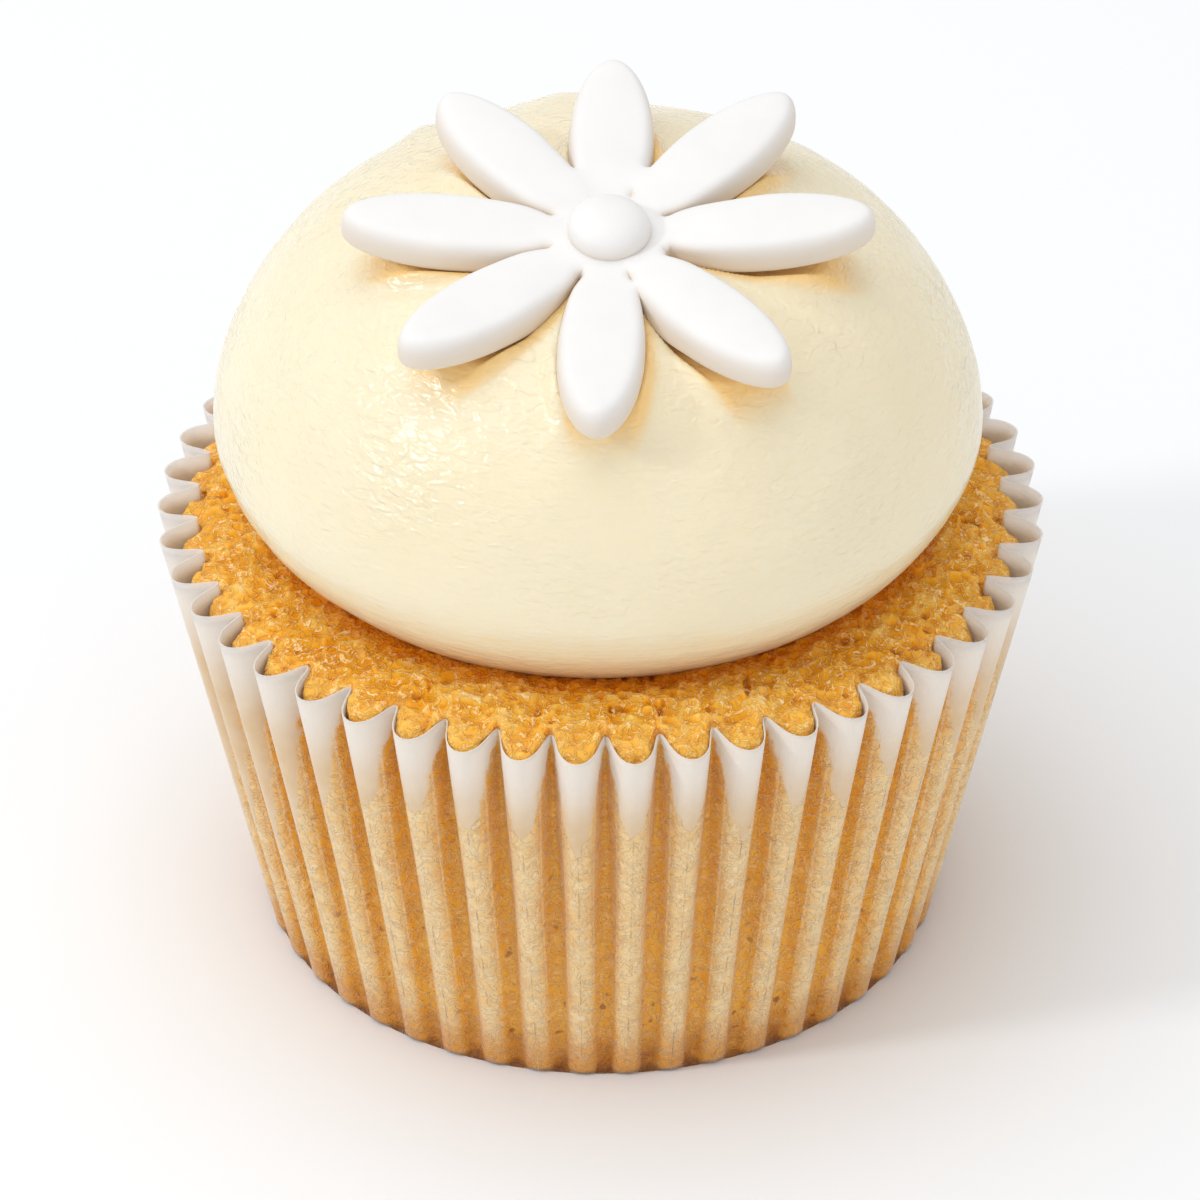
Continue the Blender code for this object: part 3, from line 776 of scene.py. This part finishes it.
def make_icing(material):
    """The icing: its profile turned about its axis, with soft lumps, knife marks, wrinkles and pits.

    Each lump and pit is its depth times exp(-d^2 / size^2), with d the distance from its middle. Under the
    flower the icing is pressed down to the petals' undersides, and beside them it wells up 0.6 mm to meet
    their edges where it lies close enough. The painted petal shadow is 1 under the petals and falls to 0 just
    beyond them, shifted a little to the right and the front: a warm painted shadow of the flower on the icing.
    """
    radius, height, crown = icing_profile()
    angles = np.arange(ICING_COLUMNS) * (2 * math.pi / ICING_COLUMNS)
    centre = np.array([ICING_CENTRE[0], ICING_CENTRE[1], 0.0])
    rows = level_rings(radius, height, angles) + centre
    normals = grid_normals(rows)
    swell = 0.00011 * cloud(rows, 0.0085, 31) + 0.00004 * cloud(rows, 0.0032, 32)
    knife = 0.00003 * cloud(rows, (0.011, 0.011, 0.0009), 33)
    wrinkle = 0.000018 * cloud(rows, 0.0010, 34)
    marks = np.zeros(rows.shape[:2])
    for middle, size, depth in ICING_MARKS:
        marks += depth * np.exp(-(((rows - np.array(middle)) / np.array(size)) ** 2).sum(axis=-1))
    rows = rows + normals * (swell + knife + wrinkle + marks)[:, :, None]
    local = to_daisy(rows)
    cover = petal_cover(local)
    beside = eased(-0.0012, -0.0002, cover) * (1 - eased(-0.0002, 0.0022, -local[..., 2]))
    local[..., 2] += beside * np.maximum(PETAL_SEAM_HEIGHT - local[..., 2], 0)
    local[..., 2] -= eased(-0.0001, 0.0004, cover) * np.maximum(local[..., 2] + ICING_CLEARANCE, 0)
    # The painted shadow of the petals: 1 under them, shifted right and front, only near the flower's plane
    painted_petal_shadow = eased(-0.0007, 0.0003, petal_cover(local - np.array(PETAL_SHADOW_SHIFT))) * eased(-0.0030, -0.0006, local[..., 2])
    rows = from_daisy(local)
    inner = level_rings([0.4 * radius[0], 0.8 * radius[0]], [ICING_FOOT] * 2, angles) + centre
    rows = np.concatenate([inner, rows])
    crown_place = to_daisy(centre + np.array([0, 0, crown])) * np.array([1, 1, 0])
    top = from_daisy(np.array([[0.0, 0.0, -ICING_CLEARANCE]]) + crown_place)
    points = np.concatenate([rows.reshape(-1, 3), [centre + np.array([0, 0, ICING_FOOT])], top])
    under, over = len(points) - 2, len(points) - 1
    faces = [grid_quads(len(rows), ICING_COLUMNS), pole_fan(0, ICING_COLUMNS, under, flip=True),
             pole_fan((len(rows) - 1) * ICING_COLUMNS, ICING_COLUMNS, over)]
    painted_petal_shadow = np.concatenate([np.zeros(len(inner) * ICING_COLUMNS), painted_petal_shadow.ravel(), [0.0, 1.0]])
    return food_piece("icing_dome", points, faces, material, {"painted_petal_shadow": painted_petal_shadow})


def outline_half_width(along, length):
    """Half the flower's width beside one petal: the wider of hub circle and petal ellipse, eased where they meet."""
    hub = np.sqrt(np.clip(HUB_RADIUS ** 2 - along ** 2, 0, None))
    half_length = length * (1 - PETAL_MIDDLE)
    ellipse = PETAL_HALF_WIDTH * np.sqrt(np.clip(1 - ((along - length * PETAL_MIDDLE) / half_length) ** 2, 0, None))
    blend = 6.0
    return (hub ** blend + ellipse ** blend) ** (1 / blend)


def make_daisy_petals(material):
    """Eight petals and the web between them as one closed pillow: a top and an underside joined along the outline.

    Each petal fills a sector. Its rows run out along the petal and its columns across it, to the middle line
    between two petals near the hub and to the petal's edge further out. With d the distance to the
    outline, the top is seam + (crown - seam) (1 - (1 - d / 1 mm)^2.9)^(1 / 2.9), and the crown rises a
    little more towards the middle of the petal. The seam is 0.6 mm up, and 1 mm higher in the notches.
    """
    directions = petal_directions()
    count = len(PETALS)
    q = np.linspace(0, 1, PETAL_HALF_COLUMNS)
    half = 1 - (1 - q) ** 2
    across = np.concatenate([-half[::-1], half[1:]])
    shared = np.linspace(0, PETAL_SHARED_REACH, PETAL_SHARED_ROWS)
    out = 1 - (1 - np.linspace(0, 1, PETAL_OUTER_ROWS + 1)[1:]) ** 2
    plans = []
    edges = []
    for i, (length, _, _) in enumerate(PETALS):
        along = np.concatenate([shared, shared[-1] + (length - shared[-1]) * out])
        to_left = ((directions[i - 1] - directions[i]) % (2 * math.pi)) / 2
        to_right = ((directions[i] - directions[(i + 1) % count]) % (2 * math.pi)) / 2
        cosine, sine = math.cos(directions[i]), math.sin(directions[i])
        turn = np.array([[cosine, sine], [-sine, cosine]])
        left = np.minimum(along * math.tan(to_left), outline_half_width(along, length))
        right = np.minimum(along * math.tan(to_right), outline_half_width(along, length))
        aside = np.where(across > 0, left[:, None] * across, right[:, None] * across)
        flat = np.stack([along[:, None] + 0 * aside, aside], axis=-1)
        free_left = outline_half_width(along, length) <= along * math.tan(to_left)
        free_right = outline_half_width(along, length) <= along * math.tan(to_right)
        seam = (free_left[:, None] & (across == 1)) | (free_right[:, None] & (across == -1))
        seam[-1] = True
        plans.append((flat @ turn, along, seam))
        fine = length * (1 - (1 - np.linspace(0, 1, 1400)) ** 2)
        width = outline_half_width(fine, length)
        rim_left = np.stack([fine, width], axis=-1)[width <= fine * math.tan(to_left)]
        rim_right = np.stack([fine, -width], axis=-1)[width <= fine * math.tan(to_right)]
        edges.append(np.concatenate([rim_left, rim_right]) @ turn)
    slopes = [lift / length for length, _, lift in PETALS]
    tops = []
    unders = []
    painted_side_shades = []
    for i, (plan, along, seam) in enumerate(plans):
        rim = np.concatenate([edges[i - 1], edges[i], edges[(i + 1) % count]])
        gap = np.sqrt(((plan[:, :, None, :] - rim[None, None]) ** 2).sum(axis=-1)).min(axis=-1)
        gap = np.where(seam, 0.0, gap)
        swell = 1 - (1 - np.clip(gap / PETAL_CROWN_REACH, 0, 1)) ** 2
        crown = PETAL_EDGE_TOP + (PETAL_THICKNESS - PETAL_EDGE_TOP) * swell
        from_hub = np.hypot(plan[..., 0], plan[..., 1])
        crown = crown + (HUB_THICKNESS - PETAL_THICKNESS) * (1 - eased(*HUB_FADE, from_hub)) * swell
        in_from_edge = np.clip(gap / PETAL_SHOULDER, 0, 1)
        shoulder = (1 - (1 - in_from_edge) ** PETAL_SHOULDER_POWER) ** (1 / PETAL_SHOULDER_POWER)
        underside = 1 - (1 - (1 - np.clip(gap / PETAL_UNDER_EDGE, 0, 1)) ** 2.0) ** 0.5
        side = np.where(across > 0, slopes[i] + slopes[i - 1], slopes[i] + slopes[(i + 1) % count])[None, :] / 2
        near = 1 - eased(0.0086, 0.0115, along)[:, None]
        raised = (slopes[i] + (side - slopes[i]) * np.abs(across)[None, :] ** 3 * near) * along[:, None]
        seam_height = PETAL_SEAM_HEIGHT + PETAL_SEAM_RISE * (1 - eased(*NOTCH_FADE, from_hub))
        top = seam_height + (crown - seam_height) * shoulder + raised
        under = seam_height * underside + raised
        tops.append(np.concatenate([plan, top[:, :, None]], axis=-1))
        unders.append(np.concatenate([plan, under[:, :, None]], axis=-1))
        # Painted shade on the shoulders and sides of each petal top; the undersides get it in full
        painted_side_shades.append(1 - shoulder ** 2)
    rows, columns = tops[0].shape[:2]
    corner = np.arange(rows - 1)[:, None] * columns + np.arange(columns - 1)[None, :]
    patch = np.stack([corner, corner + columns, corner + columns + 1, corner + 1], axis=-1).reshape(-1, 4)
    size = rows * columns
    points = from_daisy(np.concatenate([sheet.reshape(-1, 3) for sheet in tops + unders]))
    faces = [patch + size * i for i in range(count)] + [patch[:, ::-1] + size * (count + i) for i in range(count)]
    painted_side_shade = np.concatenate([sheet.ravel() for sheet in painted_side_shades] + [np.ones(size * count)])
    petals = food_piece("daisy_petals_moulded", points, faces, material, {"painted_side_shade": painted_side_shade})
    shape = bmesh.new()
    shape.from_mesh(petals.data)
    bmesh.ops.remove_doubles(shape, verts=shape.verts, dist=2e-7)
    bmesh.ops.holes_fill(shape, edges=[edge for edge in shape.edges if edge.is_boundary], sides=8)
    bmesh.ops.recalc_face_normals(shape, faces=shape.faces)
    shape.to_mesh(petals.data)
    shape.free()
    petals.data.shade_smooth()
    return petals


def make_daisy_centre(material):
    """The button: a profile turned about the flower's axis, with an upright foot and a low dome on it.

    With u from 0 to a quarter turn, the dome's radius is R cos^0.82 u and its height H (0.22 + 0.78 sin u).
    """
    columns = 72
    angles = np.arange(columns) * (2 * math.pi / columns)
    foot = HUB_THICKNESS - 0.00015
    turn = np.linspace(0, math.pi / 2, 22)[:-1]
    dome_radius = BUTTON_RADIUS * np.cos(turn) ** 0.82
    dome_height = HUB_THICKNESS + BUTTON_HEIGHT * (0.22 + 0.78 * np.sin(turn))
    radius = np.concatenate([BUTTON_RADIUS * np.array([0.5, 0.97, 0.985, 0.995]), dome_radius])
    upright = HUB_THICKNESS + BUTTON_HEIGHT * np.array([0.10, 0.14])
    height = np.concatenate([[foot, foot], upright, dome_height])
    rows = level_rings(radius, height, angles)
    points = np.concatenate([rows.reshape(-1, 3), [[0, 0, foot]], [[0, 0, HUB_THICKNESS + BUTTON_HEIGHT]]])
    under, over = len(points) - 2, len(points) - 1
    faces = [grid_quads(len(rows), columns), pole_fan(0, columns, under, flip=True),
             pole_fan((len(rows) - 1) * columns, columns, over)]
    # Painted shade on the button's low sides
    painted_side_shade = np.clip(1 - (points[:, 2] - foot) / (0.65 * BUTTON_HEIGHT), 0, 1) * 0.85
    return food_piece("daisy_button", from_daisy(points), faces, material, {"painted_side_shade": painted_side_shade})


# Floor, light and camera


def make_floor():
    """A plain pale floor."""
    material, _, shader = new_material("pale_floor")
    shader.inputs["Base Color"].default_value = (0.91, 0.93, 0.955, 1)
    shader.inputs["Roughness"].default_value = 0.9
    shader.inputs["Specular IOR Level"].default_value = 0.1
    half = 3.0
    corners = np.array([[-half, -half, 0], [half, -half, 0], [half, half, 0], [-half, half, 0]])
    floor = food_piece("floor", corners, [np.array([[0, 1, 2, 3]])], material)


def soft_light(name, direction, distance, size, power, colour=(1.0, 1.0, 1.0)):
    """A square area light out along a direction, facing the cupcake."""
    lamp = bpy.data.lights.new(name, "AREA")
    lamp.size = size
    lamp.energy = power
    lamp.color = colour
    light = bpy.data.objects.new(name, lamp)
    bpy.context.scene.collection.objects.link(light)
    out = Vector(direction).normalized()
    target = Vector((0, 0, 0.035))
    light.location = target + out * distance
    light.rotation_mode = "QUATERNION"
    light.rotation_quaternion = (-out).to_track_quat("-Z", "Y")


def make_light():
    """A bright even surround, a wide light above, a small key from the upper left and a low fill at the front right."""
    world = bpy.data.worlds.new("bright_surround")
    bpy.context.scene.world = world
    world.use_nodes = True
    surround = world.node_tree.nodes["Background"]
    surround.inputs["Color"].default_value = (1.0, 1.0, 1.0, 1.0)
    surround.inputs["Strength"].default_value = 0.64
    soft_light("overhead", (-0.24, 0.05, 1.0), 0.9, 1.0, 3.9)
    soft_light("key", (-0.78, -0.34, 0.64), 1.0, 0.11, 2.0)
    soft_light("front_fill", (0.58, -0.80, 0.06), 1.0, 0.7, 1.5, (1.0, 0.92, 0.82))
    bpy.context.scene.view_settings.view_transform = "Standard"


def make_camera():
    """The photograph's view: 50 cm away, 35 degrees above, through a long lens."""
    data = bpy.data.cameras.new("photo_camera")
    data.sensor_width = 36.0
    data.lens = 205.47
    data.shift_x = -0.00055
    data.clip_start = 0.01
    data.clip_end = 50.0
    camera = bpy.data.objects.new("photo_camera", data)
    bpy.context.scene.collection.objects.link(camera)
    target = Vector((0.0, 0.0, 0.024385))
    elevation = 0.613
    out = Vector((0.0, -math.cos(elevation), math.sin(elevation)))
    camera.location = target + out * 0.5
    camera.rotation_mode = "QUATERNION"
    camera.rotation_quaternion = (-out).to_track_quat("-Z", "Y")
    bpy.context.scene.camera = camera


def main():
    """Makes every piece, and lets each stand for its CAD node."""
    dressed = (
        (make_paper_case(make_paper_material()), "paper_case", "paper"),
        (make_sponge(make_sponge_material()), "sponge", "sponge_crumb"),
        (make_icing(make_icing_material()), "icing", "icing_cream"),
        (make_daisy_petals(make_sugar_material("moulded_sugar", 0.50)), "daisy_petals", "sugar"),
        (make_daisy_centre(make_sugar_material("button_sugar", 0.45)), "daisy_centre", "sugar_button"),
    )
    for piece, node, slot in dressed:
        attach(piece, "root")
        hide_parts(node)
    make_floor()
    make_light()
    make_camera()


main()
